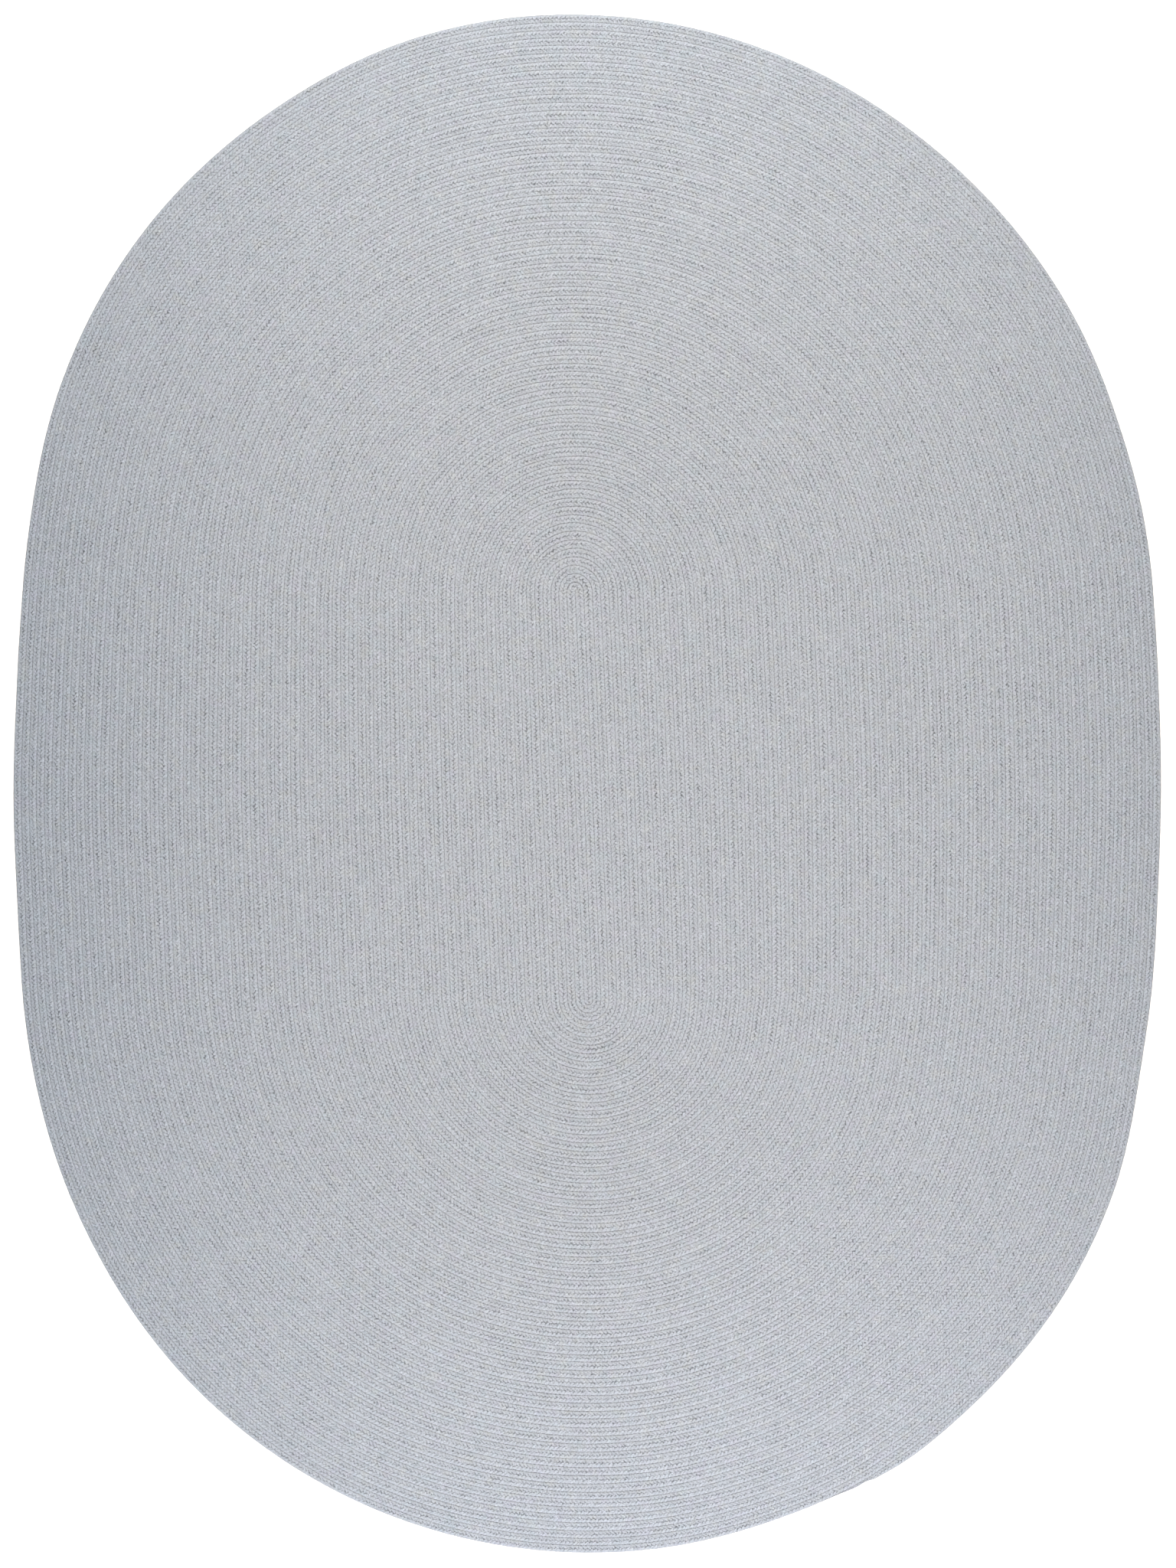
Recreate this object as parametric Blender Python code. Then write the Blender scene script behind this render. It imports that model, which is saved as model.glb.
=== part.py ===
"""Oval braided rug: one continuous flat braid, wound clockwise round a straight centre row and laced.

The rug lies on z = 0 with its long axis on Y. Its upper face is modelled row by row: every turn of the
braid is a rib with a crest line along its middle and a groove line on each side, so the whole face is
one spiral strip. The underside is flat.
"""

import math

import bpy
import numpy as np

# Driving dimensions, in metres
LENGTH = 3.658
WIDTH = 2.728
THICKNESS = 0.010
GROOVE_DEPTH = 0.003
EDGE_HEIGHT = 0.005  # height at which the rim bulges furthest
EDGE_UNDERCUT = 0.003  # how far the flat underside stays inside the rim
FULL_TURNS = 68  # turns that close all the way round; the next one ends at the lower right
ROW_PITCH = 0.0200  # width of one row near the centre
ROW_TIGHTENING = 0.0095  # share by which the outermost rows crowd together
TIGHTENING_POWER = 12  # how suddenly they do so

# The straight centre row, which leans a little to the left
CENTRE_ROW_TOP = np.array((-0.039, 0.459))
CENTRE_ROW_BOTTOM = np.array((0.003, -0.516))

# Rows are a little wider here and narrower there: waves that push them out and back
ROW_WAVES = (  # push and wave length in metres, waves that it sways by and shifts by in a turn
    (0.0012, 0.113, 0.41, 2),
    (0.0007, 0.047, 0.53, 3),
)

# Outline: a racetrack of two half circles and two straight sides, swollen in and out by hand and tension.
END_RADIUS = WIDTH / 2
STRAIGHT_SIDE = LENGTH - WIDTH
HALF_BEND = math.pi * END_RADIUS
PERIMETER = 2 * (STRAIGHT_SIDE + HALF_BEND)
RIM_SWELL = np.array(
    [  # metres clockwise from the top, swell outwards in metres
        (0.00, -0.001),
        (0.45, -0.016),
        (0.85, -0.031),
        (1.45, -0.039),
        (1.75, -0.041),
        (2.00, -0.029),
        (2.30, -0.009),
        (2.60, 0.000),
        (2.95, -0.011),
        (3.28, -0.031),
        (3.60, -0.014),
        (3.85, -0.005),
        (4.25, 0.003),
        (4.44, 0.0087),
        (4.49, 0.0072),
        (4.502, 0.0071),
        (4.522, 0.0028),
        (4.55, 0.0032),
        (4.60, -0.0008),
        (4.67, -0.0024),
        (5.05, 0.000),
        (5.65, -0.005),
        (6.20, -0.016),
        (6.80, -0.031),
        (7.20, -0.027),
        (7.50, -0.011),
        (7.80, 0.000),
        (8.10, -0.010),
        (8.45, -0.030),
        (8.80, -0.022),
        (9.20, -0.011),
        (9.70, -0.002),
        (9.98, 0.006),
        (10.20, 0.005),
    ]
)
LAST_ROW_WIDTH = np.array(
    [  # metres clockwise from the top, width of the outermost row in metres
        (2.10, 0.0187),
        (3.60, 0.0180),
        (4.20, 0.0165),
        (4.44, 0.0157),
        (4.502, 0.0115),
        (4.522, 0.0066),
        (4.55, 0.0065),
        (4.60, 0.0020),
        (4.66, 0.0000),
    ]
)
BRAID_END = LAST_ROW_WIDTH[-1, 0]  # where the tapered end of the braid has died away

# The five stretches of a turn, clockwise, with the lower bend cut at the braid's end
RIGHT_RUN, LOWER_RIGHT, LOWER_BEND, LEFT_RUN, UPPER_BEND = range(5)
STRETCH_START = np.cumsum(
    (
        HALF_BEND / 2,
        STRAIGHT_SIDE,
        BRAID_END - HALF_BEND / 2 - STRAIGHT_SIDE,
        1.5 * HALF_BEND + STRAIGHT_SIDE - BRAID_END,
        STRAIGHT_SIDE,
        HALF_BEND,
    )
)

# How finely the lines are stepped
RUN_STEPS = 4
BEND_STEPS = 23  # on a half circle as large as the rim
FEWEST_BEND_STEPS = 5
RIM_REFINEMENT = 2.6
CLOSEST_WAYS = 0.015  # an even way this close to a point of the braid's end gives way to it

COLOUR = (0.508, 0.521, 0.552, 1.0)
ROUGHNESS = 0.95
SHARPEST_SMOOTH_ANGLE = math.radians(50)


def swell_at(way):
    """Swell of the rim at a way round it: a smooth closed curve through RIM_SWELL's points."""
    ways, swells = RIM_SWELL.T
    ways = np.concatenate(([ways[-1] - PERIMETER], ways, ways[:2] + PERIMETER))
    swells = np.concatenate(([swells[-1]], swells, swells[:2]))
    gaps = np.diff(ways)
    grades = np.diff(swells) / gaps
    slopes = (grades[:-1] * gaps[1:] + grades[1:] * gaps[:-1]) / (gaps[:-1] + gaps[1:])
    ways, swells, gaps = ways[1:-1], swells[1:-1], gaps[1:-1]
    way = way % PERIMETER
    i = np.clip(np.searchsorted(ways, way, side="right") - 1, 0, len(gaps) - 1)
    u = (way - ways[i]) / gaps[i]
    return (
        (1 + 2 * u) * (1 - u) ** 2 * swells[i]
        + u * (1 - u) ** 2 * gaps[i] * slopes[i]
        + u**2 * (3 - 2 * u) * swells[i + 1]
        + u**2 * (u - 1) * gaps[i] * slopes[i + 1]
    )


def racetrack(way):
    """Points of the plain racetrack at ways clockwise from its top, and its outward directions."""
    way = (way + HALF_BEND / 2) % PERIMETER  # from the left end of the upper bend
    along = way % (PERIMETER / 2)
    turn = np.minimum(along, HALF_BEND) / END_RADIUS
    side = np.where(way < PERIMETER / 2, 1.0, -1.0)
    outward = np.stack((-np.cos(turn), np.sin(turn)), -1) * side[:, None]
    centre = np.stack((np.zeros_like(way), side * STRAIGHT_SIDE / 2), -1)
    centre[:, 1] -= side * np.maximum(along - HALF_BEND, 0)
    return centre + outward * END_RADIUS, outward


def rim(way, inside=0.0):
    """Points of the rug's outline, or of a line inside it."""
    points, outward = racetrack(way)
    return points + outward * (swell_at(way) - inside)[:, None]


def distance_share(count_share):
    """How far out a row lies for its share of the count of rows: the last rows crowd together."""
    return (1 + ROW_TIGHTENING) * count_share - ROW_TIGHTENING * count_share**TIGHTENING_POWER


def row_push(distance, way, share):
    """How far a row is out of its even place: waves outwards that shift round the rug, none at the rim."""
    push = 0.0
    round_share = way / PERIMETER
    for size, length, sway, shifts in ROW_WAVES:
        wave = distance / length + shifts * round_share + sway * np.sin(2 * math.pi * round_share)
        push += size * np.sin(2 * math.pi * wave)
    return push * 2 * math.sqrt(share * (1 - share))


def row_line(stretch, count, along):
    """Points of a line that is count rows outside the middle of the centre row.

    Rays run from the centre row, or from the point that a bend turns round, to the last full groove, and
    the line cuts each at its share of the rows. The lean of the centre row dies away towards the rim.
    """
    axis = CENTRE_ROW_TOP - CENTRE_ROW_BOTTOM
    lean = math.atan2(-axis[0], axis[1])
    way = STRETCH_START[stretch] + along * (STRETCH_START[stretch + 1] - STRETCH_START[stretch])
    rows = FULL_TURNS + 0.5
    if stretch == UPPER_BEND:
        # The upper bends turn round a point half a row to the right of the centre row.
        start = CENTRE_ROW_TOP + ROW_PITCH / 2 * np.array((math.cos(lean), math.sin(lean)))
        start = np.broadcast_to(start, (len(along), 2))
        rows, count = rows + 0.5, count + 0.5
        last = rim(way)
    else:
        down = {RIGHT_RUN: along, LEFT_RUN: 1 - along}.get(stretch, np.ones_like(along))
        start = CENTRE_ROW_TOP - axis * down[:, None]
        last = rim(way, np.interp(way, *LAST_ROW_WIDTH.T) if stretch < LOWER_BEND else 0 * way)
    share = count / rows
    angle = lean * (1 - share)
    spin = np.array(((math.cos(angle), math.sin(angle)), (-math.sin(angle), math.cos(angle))))
    ray = (last - start) @ spin
    reach = np.linalg.norm(ray, axis=1)
    distance = reach * distance_share(share)
    return start + ray * ((distance + row_push(distance, way, share)) / reach)[:, None]


def last_row_line(stretch, across, along):
    """Points along the outermost row, across = 0.5 on its crest and 1 on the rim."""
    way = STRETCH_START[stretch] + along * (STRETCH_START[stretch + 1] - STRETCH_START[stretch])
    return rim(way, (1 - across) * np.interp(way, *LAST_ROW_WIDTH.T))


def steps(stretch, count, refinement=1.0):
    """Ways along a stretch, as shares, closer together where a bend is wide. Refined ways in the lower
    right also take in the points of LAST_ROW_WIDTH, where the braid's end steps inwards."""
    if stretch in (RIGHT_RUN, LEFT_RUN):
        return np.linspace(0, 1, round(RUN_STEPS * refinement) + 1)
    length = STRETCH_START[stretch + 1] - STRETCH_START[stretch]
    wanted = BEND_STEPS * math.sqrt(count / (FULL_TURNS + 1)) * refinement
    even = np.linspace(0, 1, round(max(wanted, FEWEST_BEND_STEPS) * length / HALF_BEND) + 1)
    if stretch != LOWER_RIGHT or refinement == 1.0:
        return even
    at_end = (LAST_ROW_WIDTH[:-1, 0] - STRETCH_START[stretch]) / length
    at_end = at_end[at_end > 0]
    apart = np.abs(even[:, None] - at_end).min(1) > CLOSEST_WAYS / length
    return np.union1d(even[apart], at_end)


class Face:
    """The vertices and triangles of the rug, gathered line by line."""

    def __init__(self):
        self.points = []
        self.triangles = []

    def add(self, points, height):
        """Adds points at a height, and gives their numbers."""
        first = len(self.points)
        self.points.extend((x, y, height) for x, y in points)
        return list(range(first, len(self.points)))

    def run_shares(self, line):
        """How far along a line each of its vertices is, as a share of its length, and a 2 to end with."""
        points = np.array([self.points[number] for number in line])
        run = np.cumsum(np.linalg.norm(np.diff(points, axis=0), axis=1))
        return [0.0, *(run / run[-1:]), 2.0]

    def join(self, inner, outer):
        """Fills the strip between two lines that run the same way, whatever their numbers of points."""
        inner_share, outer_share = self.run_shares(inner), self.run_shares(outer)
        i = j = 0
        while i < len(inner) - 1 or j < len(outer) - 1:
            if inner_share[i + 1] <= outer_share[j + 1]:
                triangle = (inner[i], inner[i + 1], outer[j])
                i += 1
            else:
                triangle = (inner[i], outer[j + 1], outer[j])
                j += 1
            if len(set(triangle)) == 3:
                self.triangles.append(triangle)

    def carry_on(self, before, points, height, last=None):
        """Adds one stretch of a line that carries on from the vertex before, and may end on the vertex last."""
        if last is None:
            return [before] + self.add(points[1:], height)
        return [before] + self.add(points[1:-1], height) + [last]


def build_upper_face(face):
    """Makes the spiral strip, and gives the numbers of its rim vertices, clockwise."""
    groove_height = THICKNESS - GROOVE_DEPTH
    stretches = range(RIGHT_RUN, UPPER_BEND + 1)

    # Groove lines, turn after turn. The last of them is the rim except beside the outermost row.
    grooves = []
    before = face.add(row_line(RIGHT_RUN, 0.5, np.zeros(1)), groove_height)[0]
    for turn in range(FULL_TURNS + 1):
        lines = []
        for stretch in stretches:
            on_rim = turn == FULL_TURNS and stretch >= LOWER_BEND
            along = steps(stretch, turn + 1, RIM_REFINEMENT if on_rim else 1.0)
            points = row_line(stretch, turn + 0.5, along)
            lines.append(face.carry_on(before, points, EDGE_HEIGHT if on_rim else groove_height))
            before = lines[-1][-1]
        grooves.append(lines)

    # The rim beside the outermost row, from the upper right to the braid's end
    outermost = []
    for stretch in (RIGHT_RUN, LOWER_RIGHT):
        along = steps(stretch, FULL_TURNS + 1, RIM_REFINEMENT)
        last = grooves[FULL_TURNS][LOWER_RIGHT][-1] if stretch == LOWER_RIGHT else None
        points = last_row_line(stretch, 1.0, along)
        outermost.append(face.carry_on(before, points, EDGE_HEIGHT, last))
        before = outermost[-1][-1]
    grooves.append(outermost)

    # The centre row: its crest runs up from its round lower end and over the first bend.
    inner_groove = grooves[0][RIGHT_RUN]
    crest = face.add(row_line(LEFT_RUN, 0.0, steps(LEFT_RUN, 1)), THICKNESS)
    face.join(inner_groove[::-1], crest)
    face.join(crest, grooves[0][LEFT_RUN])
    for stretch in (LOWER_RIGHT, LOWER_BEND):
        face.join([crest[0]], grooves[0][stretch])
    crest = face.carry_on(crest[-1], row_line(UPPER_BEND, 0.0, steps(UPPER_BEND, 1)), THICKNESS)
    face.join([inner_groove[0]], crest)
    face.join(crest, grooves[0][UPPER_BEND])

    # The crests of all the turns round it, each between two grooves
    for turn in range(FULL_TURNS + 1):
        for stretch in stretches:
            outermost_row = turn == FULL_TURNS
            if outermost_row and stretch > LOWER_RIGHT:
                break
            along = steps(stretch, turn + 1, RIM_REFINEMENT if outermost_row else 1.0)
            last = None
            if outermost_row:
                points = last_row_line(stretch, 0.5, along)
                last = grooves[turn][LOWER_RIGHT][-1] if stretch == LOWER_RIGHT else None
            else:
                points = row_line(stretch, turn + 1.0, along)
            crest = face.carry_on(crest[-1], points, THICKNESS, last)
            face.join(grooves[turn][stretch], crest)
            face.join(crest, grooves[turn + 1][stretch])

    numbers = []
    for line in outermost + grooves[FULL_TURNS][LOWER_BEND:]:
        numbers.extend(line[:-1])
    return numbers


def build_edge_and_underside(face, rim_numbers):
    """Rounds the rim in below its bulge, and closes the flat underside with one face."""
    rim_points = np.array([face.points[n][:2] for n in rim_numbers])
    ahead, behind = np.roll(rim_points, -1, 0), np.roll(rim_points, 1, 0)
    course = ahead - behind
    inward = np.stack((course[:, 1], -course[:, 0]), -1)
    inward /= np.linalg.norm(inward, axis=1)[:, None]
    foot = face.add(rim_points + inward * EDGE_UNDERCUT, 0.0)
    face.join(rim_numbers + rim_numbers[:1], foot + foot[:1])
    return foot


def make_material():
    material = bpy.data.materials.new("blue_grey_yarn")
    material.use_nodes = True
    shader = material.node_tree.nodes["Principled BSDF"]
    shader.inputs["Base Color"].default_value = COLOUR
    shader.inputs["Roughness"].default_value = ROUGHNESS
    shader.inputs["Metallic"].default_value = 0.0
    return material


def make_braided_rug():
    face = Face()
    rim_numbers = build_upper_face(face)
    foot = build_edge_and_underside(face, rim_numbers)
    mesh = bpy.data.meshes.new("braided_rug")
    mesh.from_pydata(face.points, [], face.triangles + [tuple(foot)])
    mesh.validate()
    mesh.shade_smooth()
    mesh.set_sharp_from_angle(angle=SHARPEST_SMOOTH_ANGLE)
    mesh.materials.append(make_material())
    rug = bpy.data.objects.new("braided_rug", mesh)
    bpy.context.scene.collection.objects.link(rug)


for old in list(bpy.data.objects):
    bpy.data.objects.remove(old, do_unlink=True)
make_braided_rug()
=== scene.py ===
"""Looks of the oval braided rug.

One three-strand braid starts at the straight centre row and winds clockwise outwards. Its upper side is
modelled lump by lump along the whole length, in five consecutive pieces. They lie on one flat body, whose
underside has the ribs of the same rows. X is to the right, Y along the rug, Z up, in metres.
"""

import math

import bmesh
import bpy
import numpy as np
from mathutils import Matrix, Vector


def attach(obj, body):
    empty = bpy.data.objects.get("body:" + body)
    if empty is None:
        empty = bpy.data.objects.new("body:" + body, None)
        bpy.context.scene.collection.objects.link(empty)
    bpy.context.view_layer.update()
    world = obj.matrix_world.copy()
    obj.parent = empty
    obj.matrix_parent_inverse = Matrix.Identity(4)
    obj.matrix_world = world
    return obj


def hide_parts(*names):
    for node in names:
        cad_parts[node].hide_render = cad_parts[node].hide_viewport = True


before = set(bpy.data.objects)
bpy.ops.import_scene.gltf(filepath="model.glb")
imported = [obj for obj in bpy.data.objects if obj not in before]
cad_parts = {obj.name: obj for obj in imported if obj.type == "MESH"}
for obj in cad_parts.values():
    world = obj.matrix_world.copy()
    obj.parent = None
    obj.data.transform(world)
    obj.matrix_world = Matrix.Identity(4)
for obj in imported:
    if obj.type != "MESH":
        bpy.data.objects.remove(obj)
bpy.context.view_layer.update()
TAU = 2 * math.pi

# ---------------------------------------------------------------- sizes of the rug, as in its solid

LENGTH = 3.658
WIDTH = 2.728
THICKNESS = 0.010
FULL_TURNS = 68  # turns that close all the way round; the next one ends at the lower right
ROW_PITCH = 0.0200  # width of one row near the centre
ROW_TIGHTENING = 0.0095  # share by which the outermost rows crowd together
TIGHTENING_POWER = 12  # how suddenly they do so

# The straight centre row, which leans a little to the left
CENTRE_ROW_TOP = np.array((-0.039, 0.459))
CENTRE_ROW_BOTTOM = np.array((0.003, -0.516))

# Rows are a little wider here and narrower there: waves that push them out and back
ROW_WAVES = (  # push and wave length in metres, waves that it sways by and shifts by in a turn
    (0.0012, 0.113, 0.41, 2),
    (0.0007, 0.047, 0.53, 3),
)

# Outline: a racetrack of two half circles and two straight sides, swollen in and out by hand and tension
END_RADIUS = WIDTH / 2
STRAIGHT_SIDE = LENGTH - WIDTH
HALF_BEND = math.pi * END_RADIUS
PERIMETER = 2 * (STRAIGHT_SIDE + HALF_BEND)
RIM_SWELL = np.array(
    [  # metres clockwise from the top, swell outwards in metres
        (0.00, -0.001),
        (0.45, -0.016),
        (0.85, -0.031),
        (1.45, -0.039),
        (1.75, -0.041),
        (2.00, -0.029),
        (2.30, -0.009),
        (2.60, 0.000),
        (2.95, -0.011),
        (3.28, -0.031),
        (3.60, -0.014),
        (3.85, -0.005),
        (4.25, 0.003),
        (4.44, 0.0087),
        (4.49, 0.0072),
        (4.502, 0.0071),
        (4.522, 0.0028),
        (4.55, 0.0032),
        (4.60, -0.0008),
        (4.67, -0.0024),
        (5.05, 0.000),
        (5.65, -0.005),
        (6.20, -0.016),
        (6.80, -0.031),
        (7.20, -0.027),
        (7.50, -0.011),
        (7.80, 0.000),
        (8.10, -0.010),
        (8.45, -0.030),
        (8.80, -0.022),
        (9.20, -0.011),
        (9.70, -0.002),
        (9.98, 0.006),
        (10.20, 0.005),
    ]
)
LAST_ROW_WIDTH = np.array(
    [  # metres clockwise from the top, width of the outermost row in metres
        (2.10, 0.0187),
        (3.60, 0.0180),
        (4.20, 0.0165),
        (4.44, 0.0157),
        (4.502, 0.0115),
        (4.522, 0.0066),
        (4.55, 0.0065),
        (4.60, 0.0020),
        (4.66, 0.0000),
    ]
)
BRAID_END = LAST_ROW_WIDTH[-1, 0]  # where the tapered end of the braid has died away

# The five stretches of a turn, clockwise, with the lower bend cut at the braid's end
RIGHT_RUN, LOWER_RIGHT, LOWER_BEND, LEFT_RUN, UPPER_BEND = range(5)
STRETCH_START = np.cumsum(
    (
        HALF_BEND / 2,
        STRAIGHT_SIDE,
        BRAID_END - HALF_BEND / 2 - STRAIGHT_SIDE,
        1.5 * HALF_BEND + STRAIGHT_SIDE - BRAID_END,
        STRAIGHT_SIDE,
        HALF_BEND,
    )
)

# ---------------------------------------------------------------- sizes of the braid and its body

LUMP = 0.00968  # length of braid that one strand's lump takes in its column
LINES_PER_LUMP = 2
START_LINES = 2  # lines before the braid's start, which fill the corners beside its first chevron
START_ARC = np.linspace(0.12, 0.5, 7) * math.pi  # angles of the points that round off the braid's start
LUMP_AHEAD = 0.0070  # how far a lump's outer end is ahead of its end at the seam
PATH_STEP = 0.004
FEWEST_STEPS = 12  # of the path in one stretch, which the short first bends need
MEASURING_STEPS = 8  # chords that a stretch's length is measured by
GROOVE_WANDER = 0.0006  # how far a groove strays from its even line
WANDER_LENGTH = 0.11
WANDER_TURNS = 4  # turns from the centre over which the straying sets in

# The five points across the braid, from its left edge to its right one: edge, lump, seam, lump, edge.
# Places across are shares of its half width, heights are metres over the floor, and each has a value for
# a line that runs over a lump and for one that runs between two lumps.
POINTS_ACROSS = 5
EDGE_PLACE = (1.06, 1.02)
EDGE_HEIGHT = (0.0070, 0.0064)
LUMP_PLACE = (0.70, 0.72)
LUMP_HEIGHT = (0.0099, 0.0080)
SEAM_PLACE = 0.18  # how far a lump pushes the seam past the middle
SEAM_HEIGHT = 0.0082
BRAID_FOOT = 0.0064  # height of the hidden flat foot of the braid's upper half
FULL_WIDTH = 0.7  # share of an even row's width from which the braid has its full height

# Uneven handwork: how far lumps scatter in height, place and edge, and how far the dips between them, the
# seam and the lumps' length sway, each with the number of lines that it sways over
HEIGHT_SCATTER = 0.00022
PLACE_SCATTER = 0.02
EDGE_SCATTER = 0.012
DIP_SWAY = (0.25, 31)
SEAM_SWAY = (0.14, 38)
LENGTH_SWAY = (0.45, 27)

BODY_TOP = 0.0063  # height of its hidden top, just under the braid's foot
BODY_INSET = 0.0003  # how far the body's rim stays inside the braid's
BODY_GROOVE = 0.0028  # depth of the grooves of the underside
BODY_SHOULDER = 0.45  # where a rib's flat foot ends, as a share of its half width
RIM_ACROSS = 0.84  # place across the yarn's map at the top of the rim, short of a groove's painted shade
BODY_STEPS = (8, 38, 63, 8, 96)  # steps of each stretch of a turn

BRAID_PIECES = 5
BAKE_STRIP = 264  # steps of braid side by side in one strip of the map for baking
CAP_PLACE = 0.999  # where that map has the hidden caps of a length of braid
TOP_SHARE_OF_MAP = 0.05  # scale at which the body's hidden top is drawn into its map's corner
WELD = 1e-6  # points of the body closer than this are one

# ---------------------------------------------------------------- finish and studio

YARN = (0.542, 0.556, 0.588, 1.0)
FLECKS = (  # tint, scale of its noise, and the coordinates that it follows
    ((0.975, 1.005, 1.005, 1.0), 33.0, "Place"),
    ((1.01, 0.985, 1.015, 1.0), 29.0, "Place"),
    ((1.02, 1.01, 0.97, 1.0), 36.0, "Place"),
    ((0.975, 0.975, 0.975, 1.0), 0.45, "Yarn"),
    ((1.02, 1.02, 1.015, 1.0), 0.55, "Yarn"),
)
FLECK_EDGES = (0.50, 0.72)  # values of its noise at which a fleck starts to show and is full
FLECK_SHIFT = (13.7, 5.1, 2.3)  # takes each tint's noise away from the others'
LUMP_TONES = 0.10  # how far lumps differ in tone

# Painted shade in the braid's crevices, drawn as dark lines: how dark they are, and where they start to
# fade and have faded, as shares of half the row
DASH_PAINTED_SHADE = 0.43  # between the lumps of a column
DASH_VARIES = 0.8  # how far it differs from lump to lump
DASH_LOW = 0.34  # height on a lump's hump below which it shows
DASH_FADES = (0.05, 0.65)  # from the seam outwards
DASH_END = 0.15  # share of it that is left at a lump's outer end
SEAM_PAINTED_SHADE = 0.47  # along the seam between the columns
SEAM_FADES = (0.03, 0.30)  # from the seam outwards
GROOVE_PAINTED_SHADE = 0.45  # between rows
GROOVE_GROWS = (0.72, 0.98)  # from the middle outwards
GROOVE_WAVE = 0.12  # how far lumps push it outwards
TIGHTNESS = 0.18  # how far the painted shade of all of them is stronger in tight braid and weaker in loose braid
TIGHTNESS_SCALE = 0.07  # of the noise of how tight it is
TIGHTNESS_EDGES = (0.30, 0.70)  # values of that noise where it is loosest and tightest

FUZZ_SCALE = 540.0  # of the noise of the yarn's fuzz, which breaks up the dark lines
FUZZ_TONES = 1.35  # how far the fuzz changes the yarn's tone
PAINTED_SHADE_FUZZ = 3.8  # how much the fuzz strengthens the painted shade of the dark lines where it is dark itself
FUZZ_WOBBLE = 1.0  # how far the fuzz bends the dark lines, in lumps
STRAY_SCALE = 100.0  # of the broader noise that sets lumps and seam out of their even places
LUMP_STRAY = 0.9  # how far it shifts the dark lines along, in lumps
SEAM_STRAY = 0.4  # how far it shifts the seam, as a share of half the row
FIBRE_SCALE = 900.0  # of the noise of the yarn's fibres
STRAND_RELIEF = 0.4  # heights of strands and of fibres, as shares of the fuzz's height
FIBRE_RELIEF = 0.6
YARN_RELIEF = 0.0008  # metres that the fuzz stands up
ROUGHNESS = 0.96  # in the dips, and less by SMOOTH_TOPS on the tops of lumps
SMOOTH_TOPS = 0.06

SKY = 0.451  # strength
SKY_COLOUR = (0.7, 0.848, 1.0, 1.0)
LIGHTS = {  # place, point that it is aimed at, its two sides in metres, power, colour, angle of its beam
    "light_top": ((0.18, 4.0, 2.05), (0.18, 0.9, 0.0), (2.4, 1.0), 87.5, (0.9, 0.95, 1.0)),
    "light_foot": ((0.18, -4.0, 2.05), (0.18, -0.9, 0.0), (2.4, 1.0), 94.0, (0.825, 0.885, 1.0)),
    "light_above": ((0.2, 0.0, 2.5), (0.2, 0.0, 0.0), (3.4, 5.0), 27.3, (1.0, 0.82, 0.62), 1.2),
    "light_left": ((-3.2, -1.6, 1.8), (-0.9, -0.7, 0.0), (1.2, 3.0), 3.2, (0.45, 0.75, 1.0)),
}
FLOOR = (0.9, 0.9, 0.9, 1.0)
FLOOR_GLOW = (0.647, 0.587, 0.525, 1.0)  # makes up for the sky's tint, so the floor stays white far out
FLOOR_REACH = 30.0
FLOOR_GAP = 0.0003  # between floor and rug
BACKDROP = (0.93, 0.93, 0.93, 1.0)  # what the camera sees in place of the sky
CAMERA_HEIGHT = 9.0
METRES_PER_PIXEL = 0.0018199  # of the photograph
PHOTO_LENGTH = 2048  # pixels
PHOTO_CENTRE = (1.0, -0.5)  # pixels from the rug's centre, to the right and up


# ---------------------------------------------------------------- lines of the rug


def swell_at(way):
    """Swell of the rim at a way round it: the smooth closed curve through RIM_SWELL's points, a cubic
    between each two of them, whose slope at a point is the mean of the grades beside it, each weighted
    with the other's gap."""
    ways, swells = RIM_SWELL.T
    ways = np.concatenate(([ways[-1] - PERIMETER], ways, ways[:2] + PERIMETER))
    swells = np.concatenate(([swells[-1]], swells, swells[:2]))
    gaps = np.diff(ways)
    grades = np.diff(swells) / gaps
    slopes = (grades[:-1] * gaps[1:] + grades[1:] * gaps[:-1]) / (gaps[:-1] + gaps[1:])
    ways, swells, gaps = ways[1:-1], swells[1:-1], gaps[1:-1]
    way = way % PERIMETER
    i = np.clip(np.searchsorted(ways, way, side="right") - 1, 0, len(gaps) - 1)
    u = (way - ways[i]) / gaps[i]
    return (
        (1 + 2 * u) * (1 - u) ** 2 * swells[i]
        + u * (1 - u) ** 2 * gaps[i] * slopes[i]
        + u**2 * (3 - 2 * u) * swells[i + 1]
        + u**2 * (u - 1) * gaps[i] * slopes[i + 1]
    )


def rim(way, inside=0.0):
    """Points of the rug's outline, or of a line inside it: the point of the plain racetrack at a way
    clockwise from its top, moved outwards by the swell there, less the distance inside."""
    past_corner = (way + HALF_BEND / 2) % PERIMETER  # from the left end of the upper bend
    along = past_corner % (PERIMETER / 2)
    turn = np.minimum(along, HALF_BEND) / END_RADIUS
    side = np.where(past_corner < PERIMETER / 2, 1.0, -1.0)
    outward = np.stack((-np.cos(turn), np.sin(turn)), -1) * side[:, None]
    centre = np.stack((np.zeros_like(way), side * STRAIGHT_SIDE / 2), -1)
    centre[:, 1] -= side * np.maximum(along - HALF_BEND, 0)
    return centre + outward * (END_RADIUS + swell_at(way) - inside)[:, None]


def row_push(distance, way, share):
    """How far a row is out of its even place: waves outwards that shift round the rug, none at the rim."""
    push = 0.0
    round_share = way / PERIMETER
    for size, length, sway, shifts in ROW_WAVES:
        wave = distance / length + shifts * round_share + sway * np.sin(TAU * round_share)
        push += size * np.sin(TAU * wave)
    return push * 2 * math.sqrt(share * (1 - share))


def way_round(stretch, along):
    """Metres clockwise from the top, at shares along a stretch."""
    return STRETCH_START[stretch] + along * (STRETCH_START[stretch + 1] - STRETCH_START[stretch])


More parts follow.
